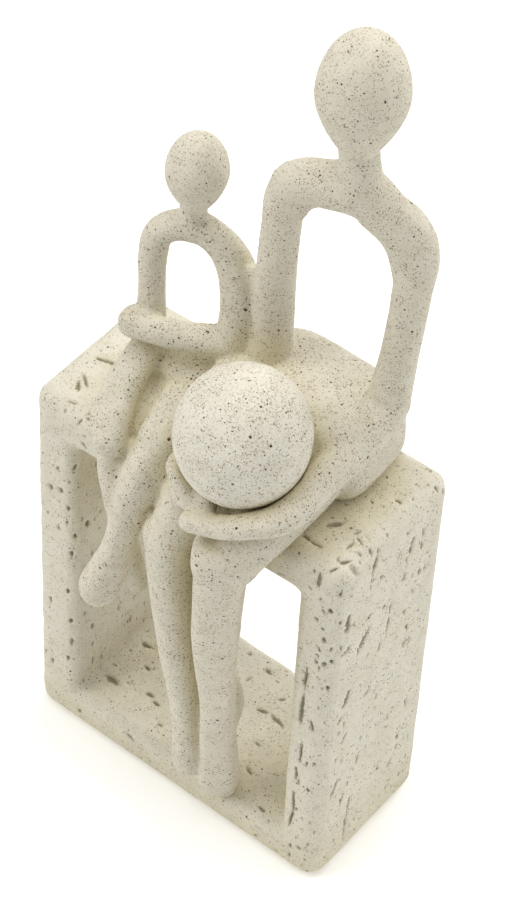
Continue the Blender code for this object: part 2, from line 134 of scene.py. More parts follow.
# Pits that the photograph shows on the block: the two ends in its pixels, then width
# and depth in millimetres
SEEN_PITS = (
    ((94.6, 357), (120.4, 365), 1.0, 0.9),
    ((84, 374), (87, 386), 1.2, 0.7),
    ((66, 401), (78, 404), 0.8, 0.5),
    ((86, 418), (97, 423), 1.0, 0.6),
    ((82, 443), (85, 448), 1.0, 0.7),
    ((90, 434), (103, 436), 1.1, 0.6),
    ((99, 451), (106, 456), 1.2, 0.9),
    ((304, 535), (310, 540), 0.9, 0.9),
    ((310, 540), (320.5, 546), 1.0, 1.0),
    ((327.4, 524.6), (342.3, 523), 1.7, 0.9),
    ((353.7, 533.7), (359.5, 531), 0.8, 0.6),
    ((356.6, 536), (364, 547), 0.7, 0.9),
    ((347, 547.5), (353.7, 541.8), 1.1, 0.6),
    ((364, 535), (372, 543), 0.6, 0.4),
    ((358, 552), (362, 556), 1.3, 0.5),
    ((330.3, 571.6), (339, 567.5), 0.8, 0.8),
    ((340, 563.5), (351.5, 561), 0.9, 0.9),
    ((336, 558), (345, 565), 0.7, 0.7),
    ((351.5, 567), (358, 576), 2.3, 0.5),
    ((377.8, 556.7), (373.2, 575), 1.9, 0.9),
    ((379, 550), (379, 553), 1.0, 0.6),
    ((372.5, 579), (372.5, 583), 0.8, 0.6),
    ((319.4, 576), (317.7, 586.5), 1.3, 0.9),
    ((341, 594.5), (341, 597), 0.9, 0.8),
    ((352, 588.7), (352, 590), 0.8, 0.7),
    ((351.4, 597), (351.4, 598), 0.8, 0.6),
    ((314, 570), (314, 573), 0.8, 0.6),
    ((309, 586.5), (311, 590), 0.8, 0.6),
    ((329.7, 611), (331, 614), 1.4, 0.9),
    ((322, 611), (324, 614), 0.9, 0.7),
    ((315, 618.5), (317, 622), 0.8, 0.7),
    ((322, 629), (323, 631), 1.0, 0.7),
    ((323.4, 639), (324, 642), 1.2, 0.8),
    ((340.6, 623), (340.6, 625), 0.9, 0.6),
    ((349.7, 617.4), (348, 633.4), 1.9, 1.0),
    ((353.5, 624), (356, 627), 0.6, 0.5),
    ((341, 647), (342, 651), 0.8, 0.6),
    ((367.5, 632.8), (359.5, 649.4), 2.2, 1.0),
    ((351, 646), (343.4, 656.3), 1.1, 0.9),
    ((315.4, 661.5), (316, 663.5), 1.1, 0.9),
    ((324.5, 664.3), (325, 666), 1.2, 0.8),
    ((331.4, 662), (331.8, 663.5), 1.1, 0.9),
    ((318, 648), (320, 652), 0.7, 0.6),
    ((317, 655), (318, 658), 0.9, 0.6),
    ((306.2, 669), (304, 689.5), 1.1, 1.0),
    ((327.4, 687.8), (328, 690), 1.2, 0.9),
    ((349.8, 691.8), (344.4, 708.2), 2.0, 1.0),
    ((303.2, 692.4), (299.5, 725.2), 1.5, 1.0),
    ((311, 722), (312.3, 731), 0.9, 0.8),
    ((342, 718), (339, 724.5), 1.3, 0.9),
    ((346.8, 733), (341.4, 745.8), 0.9, 0.8),
    ((301.4, 743.3), (299, 764), 0.9, 0.9),
    ((296.5, 770), (295.3, 779.7), 1.0, 0.9),
    ((292.9, 793), (292.9, 811), 1.1, 0.9),
    ((292.5, 811), (288, 827), 1.0, 0.8),
    ((357.7, 756.7), (356.3, 764.5), 1.0, 0.8),
    ((338.3, 779), (331, 798.5), 1.2, 0.9),
    ((343.8, 791.8), (340.2, 805.8), 0.9, 0.8),
    ((350.5, 796), (346.8, 812.4), 1.0, 0.9),
    ((346.8, 812.4), (342.6, 840.3), 0.8, 0.8),
    ((298.3, 847.6), (298.6, 850), 1.2, 0.8),
    ((307.4, 790), (307.6, 792), 1.0, 0.8),
    ((368, 619), (371, 614.5), 1.2, 0.9),
    ((383, 609), (384.5, 606), 0.9, 0.8),
    ((391, 604.8), (390.6, 611.6), 0.7, 0.7),
    ((389.5, 619), (388.7, 626), 1.2, 0.9),
    ((388.7, 621.4), (385.8, 636.8), 0.7, 0.8),
    ((404.7, 611.6), (405.2, 614), 0.9, 0.7),
    ((407, 625.4), (407.6, 630), 1.0, 0.8),
    ((405.8, 640.3), (403, 647), 1.2, 0.9),
    ((414.4, 539), (412.7, 544), 1.2, 0.9),
    ((424, 530), (423.6, 537), 1.0, 0.8),
    ((422.5, 543), (422, 550), 1.1, 0.8),
    ((411.9, 548), (411.2, 553), 1.3, 0.9),
    ((408, 557), (407, 566), 0.6, 0.6),
    ((420.4, 570), (420, 573), 1.2, 0.9),
    ((404.8, 576), (404, 580), 1.3, 0.9),
    ((400.7, 553), (397.8, 560), 0.8, 0.7),
    ((382.8, 576), (381.8, 579), 0.9, 0.7),
    ((374.3, 580), (374.8, 581), 0.7, 0.6),
    ((366.3, 695), (369.8, 687), 1.2, 0.9),
    ((374.5, 694), (376.5, 686), 0.7, 0.7),
    ((377.7, 767.6), (377.9, 770), 1.0, 0.8),
    ((386.5, 785), (385, 790), 1.0, 0.8),
    ((390.5, 759), (388, 766.4), 1.0, 0.8),
    ((396.3, 745), (395.8, 750), 0.9, 0.8),
    ((398.2, 734), (397.8, 738), 0.9, 0.8),
    ((405.6, 699.7), (405.6, 705.8), 0.9, 0.7),
    ((78.5, 381), (78.5, 390), 1.2, 0.9),
    ((51, 486), (51, 490), 1.2, 0.8),
    ((60.6, 489.5), (60.6, 493), 1.3, 0.9),
    ((68, 508), (69, 511), 1.0, 0.7),
    ((88, 522.5), (88.5, 525.5), 1.8, 0.9),
    ((67, 522), (67, 524), 1.0, 0.7),
    ((75.4, 535.5), (75.4, 538.5), 1.3, 0.8),
    ((58, 527), (58.5, 529.5), 1.0, 0.7),
    ((72, 552), (72, 556), 1.1, 0.8),
    ((50.4, 598), (50.4, 602), 1.0, 0.7),
    ((67.8, 590), (67.8, 594), 1.2, 0.9),
    ((70.8, 620.5), (70.8, 623), 1.5, 0.9),
    ((93, 625.5), (93, 627.5), 1.6, 0.9),
    ((72, 639), (72, 645), 0.9, 0.7),
    ((67.8, 657), (67.8, 660), 1.1, 0.8),
    ((52.4, 659), (52.4, 663), 1.0, 0.7),
    ((75, 468), (75, 470), 1.0, 0.7),
    ((57, 468), (57, 470), 0.9, 0.6),
    ((108, 677), (117, 683), 2.0, 0.8),
    ((143, 643), (150, 647), 1.2, 0.8),
    ((148, 693), (153, 696), 1.4, 0.8),
    ((145, 666), (149, 670), 1.1, 0.7),
    ((155, 702), (159, 705), 1.2, 0.8),
    ((258, 709), (267, 712), 1.2, 0.8),
    ((272, 714), (283, 726), 1.4, 0.9),
    ((266, 669), (270, 673), 1.4, 0.8),
    ((245, 681), (253, 677), 1.0, 0.5),
    ((127, 735), (133, 741), 1.4, 0.7),
    ((256, 742), (261, 746), 1.1, 0.6),
    ((247, 768), (252, 775), 1.3, 0.6),
    ((259, 806), (264, 811), 1.1, 0.7),
    ((280, 872), (285, 869), 1.2, 0.7),
)


class Figure:
    """Turns a figure's drawn millimetres into metres, about its place on the seat."""

    def __init__(self, x, drawn_x, height, drawn_height):
        self.x = x
        self.drawn_x = drawn_x
        self.scale = height / MM / drawn_height

    def size(self, drawn):
        return drawn * self.scale * MM

    def place(self, x, y, z):
        across = self.x + self.size(x - self.drawn_x)
        return Vector((across, FRONT_Y + self.size(y), SEAT_Z + self.size(z)))

    def hang(self, x, y, share):
        """A point on a leg, at a share of the way down from the seat to the base."""
        point = self.place(x, y, 0)
        point.z = SEAT_Z - share * LEG_DROP
        return point

    def stations(self, *rows):
        """Points and radii for a limb, from drawn rows of x, y, z and radius."""
        return [(self.place(x, y, z), self.size(radius)) for x, y, z, radius in rows]

    def leg_stations(self, *rows):
        """The same, from rows of x, y, share of the drop and radius."""
        return [(self.hang(x, y, share), self.size(radius)) for x, y, share, radius in rows]


MOTHER = Figure(MOTHER_X, MOTHER_DRAWN_X, MOTHER_HEIGHT, MOTHER_DRAWN)
CHILD = Figure(CHILD_X, CHILD_DRAWN_X, CHILD_HEIGHT, CHILD_DRAWN)
BALL_CENTRE = MOTHER.place(*BALL_UNDERSIDE) + Vector((0, 0, BALL_HEIGHT / 2))


def around_ball(rows):
    """Stations that lie against the ball, from rows of azimuth, elevation, gap and radius."""
    stations = []
    for azimuth, elevation, gap, radius in rows:
        reach = BALL_RADIUS + MOTHER.size(gap + radius)
        turn = Matrix.Rotation(math.radians(azimuth), 3, "Z")
        tip = Matrix.Rotation(-math.radians(elevation), 3, "Y")
        outward = turn @ tip @ Vector((reach, 0, 0))
        outward.z *= BALL_TALLNESS
        stations.append((BALL_CENTRE + outward, MOTHER.size(radius)))
    return stations


def rounded(value, corner):
    """A cosine or sine drawn towards the corner of its square."""
    return math.copysign(abs(value) ** corner, value)


def section(corner):
    """The closed outline that a limb is swept from."""
    outline = bpy.data.curves.new("section", "CURVE")
    outline.dimensions = "3D"
    spline = outline.splines.new("POLY")
    spline.points.add(SECTION_SIDES - 1)
    spline.use_cyclic_u = True
    for number, point in enumerate(spline.points):
        angle = math.tau * number / SECTION_SIDES
        point.co = (rounded(math.cos(angle), corner), rounded(math.sin(angle), corner), 0, 1)
    return bpy.data.objects.new("section", outline)


def tube(stations, flatness=1.0, corner=ROUND, turn=0.0):
    """A tube through (point, radius) stations.

    flatness below 1 presses it flat, and turn spins its section, in degrees.
    """
    curve = bpy.data.curves.new("tube", "CURVE")
    curve.dimensions = "3D"
    curve.bevel_mode = "OBJECT"
    curve.bevel_object = section(corner)
    curve.resolution_u = 8
    curve.use_fill_caps = True
    spline = curve.splines.new("BEZIER")
    spline.radius_interpolation = "CARDINAL"
    spline.bezier_points.add(len(stations) - 1)
    for knot, (point, radius) in zip(spline.bezier_points, stations):
        knot.co = (point.x, point.y, point.z / flatness)
        knot.radius = radius
        knot.tilt = math.radians(turn)
        knot.handle_left_type = "AUTO"
        knot.handle_right_type = "AUTO"
    made = bpy.data.objects.new("tube", curve)
    made.matrix_world = Matrix.Diagonal((1, 1, flatness, 1))
    return made


def limb(stations, flatness=1.0, corner=ROUND, turn=0.0):
    """A tube with an egg at each end, so that it ends round."""
    ends = [egg(point, (radius, radius, radius * flatness)) for point, radius in (stations[0], stations[-1])]
    return [tube(stations, flatness, corner, turn), *ends]


def egg(centre, radii, turn=(0, 0, 0), chin=0.0, roundness=1.0):
    """An ellipsoid, turned in degrees.

    chin narrows and lengthens its lower half, and roundness below 1 makes it boxier.
    """
    shape = bmesh.new()
    bmesh.ops.create_uvsphere(shape, u_segments=32, v_segments=20, radius=1.0)
    for vert in shape.verts:
        narrowing = 1 - chin * max(0.0, -vert.co.z) ** 1.3
        vert.co = [math.copysign(abs(value) ** roundness, value) for value in vert.co]
        vert.co.x *= narrowing
        vert.co.y *= narrowing
        if vert.co.z < 0:
            vert.co.z *= 1 + chin / 3
    mesh = bpy.data.meshes.new("egg")
    shape.to_mesh(mesh)
    shape.free()
    made = bpy.data.objects.new("egg", mesh)
    spin = Matrix.Rotation(math.radians(turn[2]), 4, "Z") @ Matrix.Rotation(math.radians(turn[1]), 4, "Y")
    spin = spin @ Matrix.Rotation(math.radians(turn[0]), 4, "X")
    made.matrix_world = Matrix.Translation(centre) @ spin @ Matrix.Diagonal((*radii, 1.0))
    return made


def head(figure, centre, radii, chin):
    return [egg(figure.place(*centre), [figure.size(radius) for radius in radii], chin=chin)]


def lap(figure, centre, radii, tilt=0.0, spin=0.0, roundness=0.6):
    """A soft block, tilted down to the front and spun about the vertical, in degrees."""
    sizes = [figure.size(radius) for radius in radii]
    return [egg(figure.place(*centre), sizes, turn=(tilt, 0, spin), roundness=roundness)]


def mother_forms():
    """The mother: a band of shoulders and arms over a lap, two legs and a head."""
    forms = limb(MOTHER.stations(
        (1.6, 30.5, 22, 7.2),
        (3.2, 30.6, 36, 5.7),
        (4.6, 29.3, 57, 5.2),
        (6.3, 28.0, 76, 5.0),
        (7.7, 27.7, 87.2, 5.2),
        (10.2, 28.2, 92.0, 5.4),
        (17.0, 30.6, 93.6, 6.0),
        (24.6, 33.8, 93.6, 6.4),
        (30.8, 36.6, 88.4, 5.7),
        (35.8, 38.8, 84.2, 5.4),
        (38.2, 39.6, 79.0, 5.2),
        (38.0, 39.4, 65.5, 5.0),
        (36.9, 38.4, 43, 4.9),
        (36.4, 36.4, 28, 5.6),
    ))
    forms += limb(MOTHER.stations((23.2, 33.2, 96.0, 7.0), (23.8, 33.4, 100.5, 5.4), (23.1, 33.4, 107, 5.0)))
    forms += head(MOTHER, (22.9, 33.5, 123.4), (11.3, 11.5, 17.8), chin=0.42)
    forms += limb(MOTHER.stations((9.4, 28.3, 81.5, 3.0), (12.3, 29.0, 87.0, 3.0), (18.0, 30.8, 91.0, 3.0)))
    forms += limb(MOTHER.stations(
        (27.5, 35.2, 88.4, 4.6),
        (33.3, 37.8, 81.8, 4.5),
        (36.4, 38.9, 72.5, 4.3),
        (37.7, 39.2, 60.0, 4.0),
    ))
    forms += lap(MOTHER, (8.2, 27.9, 91.0), (4.2, 4.4, 3.8), roundness=0.6)
    forms += lap(MOTHER, (18.8, 31.5, 13.6), (21.3, 15.5, 14.5), tilt=7, roundness=0.5)
    forms += mother_legs()
    forms += mother_forearms()
    return forms


def mother_legs():
    """Both legs hang down to the base, planed flat in front, the right one set back."""
    forms = limb(MOTHER.stations((17.5, 20, 6, 8.5), (15.0, 4, 0, 6.5), (13.2, 0, -8, 4.4)))
    forms += limb(MOTHER.leg_stations(
        (13.0, -1.0, 0.08, 4.0),
        (12.0, -0.4, 0.45, 3.4),
        (11.4, 1.0, 0.92, 3.4),
    ))
    forms += limb(MOTHER.stations(
        (25.0, 34, 11, 11.0),
        (25.6, 22, 11.5, 11.4),
        (26.0, 9, 8.0, 10.4),
        (24.6, -2, 2.0, 9.2),
        (23.2, -7.4, -5.0, 7.4),
    ))
    forms += lap(MOTHER, (21.3, -8.8, -4.8), (8.2, 6.6, 7.6), tilt=8, spin=30, roundness=0.66)
    forms += limb(MOTHER.leg_stations(
        (21.3, -9.0, 0.04, 7.0),
        (20.9, -9.6, 0.16, 6.6),
        (20.3, -9.2, 0.32, 6.1),
        (19.4, -7.2, 0.46, 5.2),
        (18.3, -4.4, 0.60, 4.7),
        (17.4, -2.4, 0.74, 4.9),
        (16.2, 0.2, 0.86, 5.2),
        (15.6, 1.6, 0.96, 5.4),
    ), corner=PLANED, turn=30)
    toes = [MOTHER.size(radius) for radius in (6.2, 4.6, 6.0)]
    forms.append(egg(MOTHER.hang(14.9, 1.7, 0.96), toes, turn=(0, 0, 20), roundness=0.6))
    forms += limb(MOTHER.leg_stations(
        (17.2, 0.8, 0.58, 3.4),
        (17.4, 3.0, 0.66, 3.6),
        (17.2, 0.6, 0.76, 3.4),
        (17.0, 2.0, 0.90, 3.8),
    ))
    forms += limb(MOTHER.stations(
        (10.0, 34, 10.5, 11.0),
        (9.2, 22, 10.0, 10.0),
        (6.6, 9, 5.5, 9.2),
        (4.8, -1, -2.3, 8.2),
        (3.0, -5.6, -10.8, 7.0),
    ))
    forms += lap(MOTHER, (2.4, -6.2, -13.6), (7.4, 6.6, 7.0), tilt=8, roundness=0.85)
    forms += limb(MOTHER.leg_stations(
        (2.8, -6.6, 0.10, 6.9),
        (3.4, -6.8, 0.22, 6.4),
        (4.6, -6.2, 0.38, 5.8),
        (5.6, -5.2, 0.52, 5.3),
        (6.7, -3.8, 0.66, 4.6),
        (6.9, -2.2, 0.80, 4.5),
        (6.6, -0.6, 0.94, 4.8),
    ), corner=SOFTENED)
    return forms


def mother_forearms():
    """Both forearms curve round the ball, and the right hand lies on the left."""
    left_elbow = MOTHER.stations((36.6, 36.4, 27, 5.6), (35.6, 25, 20.5, 5.8))
    left = limb(left_elbow + around_ball((
        (27, -23, 0.0, 5.0),
        (-17, -33, 0.0, 4.3),
        (-46, -37.5, 0.6, 3.5),
        (-69, -45.5, 1.5, 3.3),
        (-86, -48.5, 2.6, 3.2),
        (-99, -47.5, 4.0, 3.1),
    )), flatness=0.9, corner=SOFTENED)
    right_elbow = MOTHER.stations((1.4, 29, 24, 6.6), (-1.6, 19, 20.5, 5.4))
    right = limb(right_elbow + around_ball((
        (172, -46, 0.0, 3.2),
        (-165, -43, 0.0, 2.8),
        (-149, -36, 0.0, 2.5),
        (-133, -33, 0.0, 2.2),
        (-122, -38, 0.0, 2.0),
        (-112, -46, 0.2, 1.8),
    )), flatness=0.9)
    palm = [MOTHER.size(radius) for radius in (7.8, 3.5, 5.2)]
    return left + right + [egg(MOTHER.place(10.3, -7.2, 10.8), palm, turn=(-28, -22, -6), roundness=0.75)]


def child_forms():
    """The child: the same form, half the size, with one leg crossed over the other."""
    forms = limb(CHILD.stations(
        (-27.0, 20.0, 20, 4.2),
        (-27.4, 20.6, 38, 3.6),
        (-27.5, 21.0, 49, 3.8),
        (-25.8, 22.1, 57.0, 4.0),
        (-18.6, 25.5, 60.6, 4.2),
        (-12.8, 27.4, 58.6, 4.2),
        (-8.0, 28.6, 52.6, 4.9),
        (-5.2, 28.0, 44, 5.2),
        (-4.8, 26.0, 28, 4.8),
    ))
    forms += limb(CHILD.stations((-18.6, 25.5, 60.4, 4.2), (-18.8, 25.5, 65.5, 3.6), (-18.4, 25.5, 70, 3.8)))
    forms += limb(CHILD.stations((-1.8, 28.8, 54, 1.6), (-1.0, 28.8, 44, 3.0), (-0.8, 28.0, 30, 3.0)))
    forms += head(CHILD, (-18.0, 25.5, 79.4), (8.0, 8.2, 11.6), chin=0.34)
    forms += limb(CHILD.stations(
        (-5.4, 25.5, 28.0, 4.6),
        (-13.4, 20.0, 28.6, 4.0),
        (-21.6, 15.8, 29.0, 3.8),
        (-27.2, 14.2, 29.2, 3.8),
    ))
    forms += lap(CHILD, (-28.2, 14.0, 29.2), (3.2, 3.4, 3.8), roundness=0.55)
    forms += lap(CHILD, (-15.5, 24.5, 8.5), (14.5, 9.5, 11.5), tilt=8)
    forms += lap(CHILD, (-3.0, 26, 9), (8.0, 9.0, 11.5))
    forms += limb(CHILD.stations(
        (-18.0, 22, 10.4, 5.6),
        (-17.4, 13, 7.4, 5.2),
        (-15.6, 5, 2.8, 5.0),
        (-15.6, -0.5, -1.5, 4.4),
        (-15.4, -3.0, -8.0, 3.6),
    ))
    forms += limb(CHILD.stations(
        (-23.5, 25, 7, 7.4),
        (-22.6, 12, 5.8, 6.2),
        (-21.8, 2, 3.0, 5.0),
        (-20.2, -2.6, -3.0, 4.4),
        (-17.8, -4.2, -12, 4.0),
        (-15.2, -4.8, -22, 3.6),
        (-13.2, -4.2, -34, 3.3),
        (-12.0, -2.6, -46, 3.4),
    ))
    forms += limb(CHILD.stations(
        (-12.5, 25, 9, 7.6),
        (-11.0, 14, 10.2, 7.0),
        (-8.8, 3, 7.4, 6.6),
    ))
    forms += limb(CHILD.stations(
        (-9.4, 6, 8.6, 6.0),
        (-9.0, -3.2, 0.8, 5.7),
        (-11.0, -5.8, -10, 4.9),
        (-12.8, -6.8, -20, 4.3),
        (-14.6, -7.6, -30, 4.1),
        (-17.6, -8.2, -41, 4.7),
        (-20.2, -8.6, -50, 5.3),
    ), corner=PLANED, turn=42)
    forms += limb(CHILD.stations(
        (-26.4, 19.5, 20.5, 3.8),
        (-25.6, 11, 14.6, 4.8),
        (-24.4, 4, 9.8, 5.4),
        (-22.0, -1.2, 7.2, 5.6),
        (-19.8, -4.2, 5.9, 4.8),
    ), corner=PLANED)
    return forms


def fuse(name, forms):
    """One mesh that holds every form. The forms are removed."""
    guides = bpy.data.collections.new("guides")
    bpy.context.scene.collection.children.link(guides)
    for form in forms:
        guides.objects.link(form)
    bpy.context.view_layer.update()
    graph = bpy.context.evaluated_depsgraph_get()
    whole = bmesh.new()
    for form in forms:
        mesh = bpy.data.meshes.new_from_object(form.evaluated_get(graph))
        mesh.transform(form.matrix_world)
        whole.from_mesh(mesh)
        bpy.data.meshes.remove(mesh)
    for form in forms:
        if form.type == "CURVE":
            bpy.data.objects.remove(form.data.bevel_object)
        bpy.data.objects.remove(form)
    bpy.data.collections.remove(guides)
    bmesh.ops.remove_doubles(whole, verts=whole.verts, dist=0.00001)
    mesh = bpy.data.meshes.new(name)
    whole.to_mesh(mesh)
    whole.free()
    return mesh


def camera_axes():
    """The camera's right, up and backward directions."""
    azimuth = math.radians(CAMERA_AZIMUTH)
    elevation = math.radians(CAMERA_ELEVATION)
    roll = math.radians(CAMERA_ROLL)
    level = math.cos(elevation)
    back = Vector((math.sin(azimuth) * level, -math.cos(azimuth) * level, math.sin(elevation)))
    right = Vector((0, 0, 1)).cross(back).normalized()
    up = back.cross(right)
    turned_right = math.cos(roll) * right + math.sin(roll) * up
    turned_up = math.cos(roll) * up - math.sin(roll) * right
    return turned_right, turned_up, back


def make_camera():
    data = bpy.data.cameras.new("camera")
    data.sensor_width = 36.0
    data.lens = FOCAL_PIXELS * data.sensor_width / PHOTO_HEIGHT
    data.clip_start = 0.01
    camera = bpy.data.objects.new("camera", data)
    camera.matrix_world = Matrix(camera_axes()).transposed().to_4x4()
    camera.location = CAMERA_PLACE
    bpy.context.scene.collection.objects.link(camera)
    bpy.context.scene.camera = camera


def sight_line(pixel):
    """The direction from the camera through a pixel of the photograph."""
    right, up, back = camera_axes()
    across = pixel[0] - PHOTO_WIDTH / 2
    above = PHOTO_HEIGHT / 2 - pixel[1]
    return (right * across + up * above - back * FOCAL_PIXELS).normalized()


def lattice(points, seed):
    """Pseudo-random values from -1 to 1 for whole-number points."""
    mixed = points[:, 0] * 73856093 ^ points[:, 1] * 19349663 ^ points[:, 2] * 83492791 ^ seed * 2654435761
    mixed = (mixed ^ mixed >> 13) * 1274126177
    return ((mixed ^ mixed >> 16) & 0xFFFF) / 32767.5 - 1


def cloud(points, size, seed):
    """Smooth noise from -1 to 1 at points in metres, with lumps of that size."""
    scaled = points / size + 1000
    low = np.floor(scaled).astype(np.int64)
    part = scaled - low
    part = part * part * (3 - 2 * part)
    total = np.zeros(len(points))
    for corner in range(8):
        step = np.array((corner & 1, corner >> 1 & 1, corner >> 2))
        share = np.where(step, part, 1 - part).prod(axis=1)
        total += share * lattice(low + step, seed)
    return total


def coordinates(mesh):
    flat = np.empty(len(mesh.vertices) * 3, np.float32)
    mesh.vertices.foreach_get("co", flat)
    return flat.reshape(-1, 3).astype(float)


def normals(mesh):
    flat = np.empty(len(mesh.vertices) * 3, np.float32)
    mesh.vertex_normals.foreach_get("vector", flat)
    return flat.reshape(-1, 3).astype(float)


def move_to(mesh, points):
    mesh.vertices.foreach_set("co", points.astype(np.float32).ravel())
    mesh.update()


def relax(mesh, rounds):
    """Smooths facets away in pairs of steps that keep thin limbs at their thickness."""
    ends = np.empty(len(mesh.edges) * 2, np.int32)
    mesh.edges.foreach_get("vertices", ends)
    first, second = ends[0::2], ends[1::2]
    points = coordinates(mesh)
    count = len(points)
    neighbours = np.bincount(first, minlength=count) + np.bincount(second, minlength=count)
    for _ in range(rounds):
        for share in (INWARD_STEP, OUTWARD_STEP):
            total = np.zeros_like(points)
            for axis in range(3):
                total[:, axis] += np.bincount(first, points[second, axis], count)
                total[:, axis] += np.bincount(second, points[first, axis], count)
            points += share * (total / neighbours[:, None] - points)
    move_to(mesh, points)


def solid_copy(node, name, grow=0.0):
    """A copy of a node's solid, grown all round."""
    shape = bmesh.new()
    shape.from_mesh(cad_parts[node].data)
    bmesh.ops.remove_doubles(shape, verts=shape.verts, dist=1e-6)
    shape.normal_update()
    for vert in shape.verts:
        vert.co += vert.normal * grow
    mesh = bpy.data.meshes.new(name)
    shape.to_mesh(mesh)
    shape.free()
    copy = bpy.data.objects.new(name, mesh)
    bpy.context.scene.collection.objects.link(copy)
    return copy


def remesh(piece, voxel):
    fine = piece.modifiers.new("fine", "REMESH")
    fine.mode = "VOXEL"
    fine.voxel_size = voxel


def bake(piece):
    """Applies a piece's modifiers."""
    bpy.context.view_layer.update()
    graph = bpy.context.evaluated_depsgraph_get()
    baked = bpy.data.meshes.new_from_object(piece.evaluated_get(graph))
    piece.modifiers.clear()
    piece.data = baked
    baked.name = piece.name
    return baked


def settle(piece, node, material):
    """Gives a finished piece its material, in a slot, and its body, and hides its node's solid."""
    piece.data.materials.append(material)
    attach(piece, "root")
    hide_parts(node)


def mark(mesh, name, values):
    """Stores a value from 0 to 1 at each point, for the material to read."""
    layer = mesh.attributes.new(name, "FLOAT", "POINT")
    layer.data.foreach_set("value", np.clip(values, 0, 1).astype(np.float32))


class Nodes:
    """Builds a material's node tree a call at a time."""

    def __init__(self, name):
        self.material = bpy.data.materials.new(name)
        self.material.use_nodes = True
        self.tree = self.material.node_tree
        self.shader = self.tree.nodes["Principled BSDF"]

    def link(self, socket, value):
        if isinstance(value, bpy.types.NodeSocket):
            self.tree.links.new(value, socket)
        else:
            socket.default_value = value

    def add(self, kind, settings=(), inputs=()):
        node = self.tree.nodes.new("ShaderNode" + kind)
        for name, value in dict(settings).items():
            setattr(node, name, value)
        for name, value in dict(inputs).items():
            self.link(node.inputs[name], value)
        return node

    def maths(self, operation, first, second=0.0):
        return self.add("Math", {"operation": operation}, {0: first, 1: second}).outputs[0]

    def ramp(self, value, low, high):
        """0 below low and 1 above high, with a soft step between."""
        settings = {"interpolation_type": "SMOOTHSTEP"}
        node = self.add("MapRange", settings, {"Value": value, "From Min": low, "From Max": high})
        return node.outputs["Result"]

    def blend(self, share, first, second):
        node = self.add("Mix", {"data_type": "RGBA"})
        self.link(node.inputs["Factor"], share)
        self.link(node.inputs[6], first)
        self.link(node.inputs[7], second)
        return node.outputs[2]

    def noise(self, place, size, detail=2.0):
        inputs = {"Vector": place, "Scale": 1 / size, "Detail": detail}
        return self.add("TexNoise", {}, inputs).outputs["Fac"]


def specks(nodes, place, spacing, radius, chosen):
    """Scattered specks: where they are, from 0 to 1. chosen is the share of cells that hold one."""
    cells = nodes.add("TexVoronoi", {}, {"Vector": place, "Scale": 1 / spacing})
    lot = nodes.add("SeparateColor", {}, {"Color": cells.outputs["Color"]})
    held = nodes.maths("LESS_THAN", lot.outputs[0], chosen)
    reach = nodes.maths("MULTIPLY", nodes.maths("ADD", lot.outputs[1], 0.55), radius / spacing)
    edge = nodes.maths("SUBTRACT", reach, cells.outputs["Distance"])
    return nodes.maths("MULTIPLY", held, nodes.ramp(edge, 0.0, 0.10 * radius / spacing + 0.02))


def rgba(colour):
    return (*colour, 1.0)


def mottled(nodes, place, colour):
    """The stone's own tint, in lighter and duller patches with a grey grain."""
    mottle = nodes.ramp(nodes.noise(place, 6 * MM, 4.0), 0.30, 0.70)
    light = rgba([channel * 1.02 for channel in colour])
    dull = rgba([channel * shade for channel, shade in zip(colour, (0.95, 0.95, 0.93))])
    grain = nodes.ramp(nodes.noise(place, 0.34 * MM, 2.0), 0.40, 0.72)
    tint = nodes.blend(mottle, dull, light)
    return nodes.blend(nodes.maths("MULTIPLY", grain, 0.26), tint, rgba(GREY_SPECK))


def painted_hollow_shade(nodes, tint, reach):
    """The tint with painted shade: yellower and darker in hollows, whose walls are sought within reach."""
    open_air = nodes.add("AmbientOcclusion", {"samples": 8}, {"Distance": reach}).outputs["AO"]
    shaded = nodes.add("Mix", {"data_type": "RGBA", "blend_type": "MULTIPLY"})
    nodes.link(shaded.inputs["Factor"], 1.0)
    nodes.link(shaded.inputs[6], tint)
    nodes.link(shaded.inputs[7], rgba(CREVICE_SHADE_TINT))
    return nodes.blend(nodes.ramp(open_air, 0.25, 0.95), shaded.outputs[2], tint)


def speckled(nodes, tint, relief, ragged, crowding):
    """The tint and the relief with every layer of specks on them."""
    for number, (speck, spacing, radius, chosen, strength) in enumerate(SPECK_LAYERS):
        shift = {0: ragged, 1: (0.1 * number,) * 3}
        shifted = nodes.add("VectorMath", {"operation": "ADD"}, shift).outputs[0]
        share = nodes.maths("MULTIPLY", crowding, chosen)
        found = specks(nodes, shifted, spacing * MM, radius * MM, share)
        tint = nodes.blend(nodes.maths("MULTIPLY", found, strength), tint, rgba(speck))
        relief = nodes.maths("SUBTRACT", relief, nodes.maths("MULTIPLY", found, 0.35))
    return tint, relief


def pitted(nodes, tint, relief, place, ragged, crowding):
    """The tint and the relief with the mesh's pits darkened and small upright pits added."""
    depth = nodes.add("Attribute", {"attribute_name": "pit"}).outputs["Fac"]
    rag = nodes.maths("MULTIPLY", nodes.noise(place, 0.6 * MM, 3.0), 0.5)
    hollow = nodes.ramp(nodes.maths("ADD", depth, rag), 0.40, 1.30)
    stretch = {0: ragged, 1: (1.0, 1.0, 0.38)}
    stretched = nodes.add("VectorMath", {"operation": "MULTIPLY"}, stretch).outputs[0]
    small = specks(nodes, stretched, 1.9 * MM, 0.34 * MM, nodes.maths("MULTIPLY", crowding, 0.34))
    hollow = nodes.maths("MAXIMUM", hollow, nodes.maths("MULTIPLY", small, 0.75))
    tint = nodes.blend(nodes.maths("MULTIPLY", hollow, 0.66), tint, rgba(PIT_COLOUR))
    return tint, nodes.maths("SUBTRACT", relief, nodes.maths("MULTIPLY", hollow, 1.6))


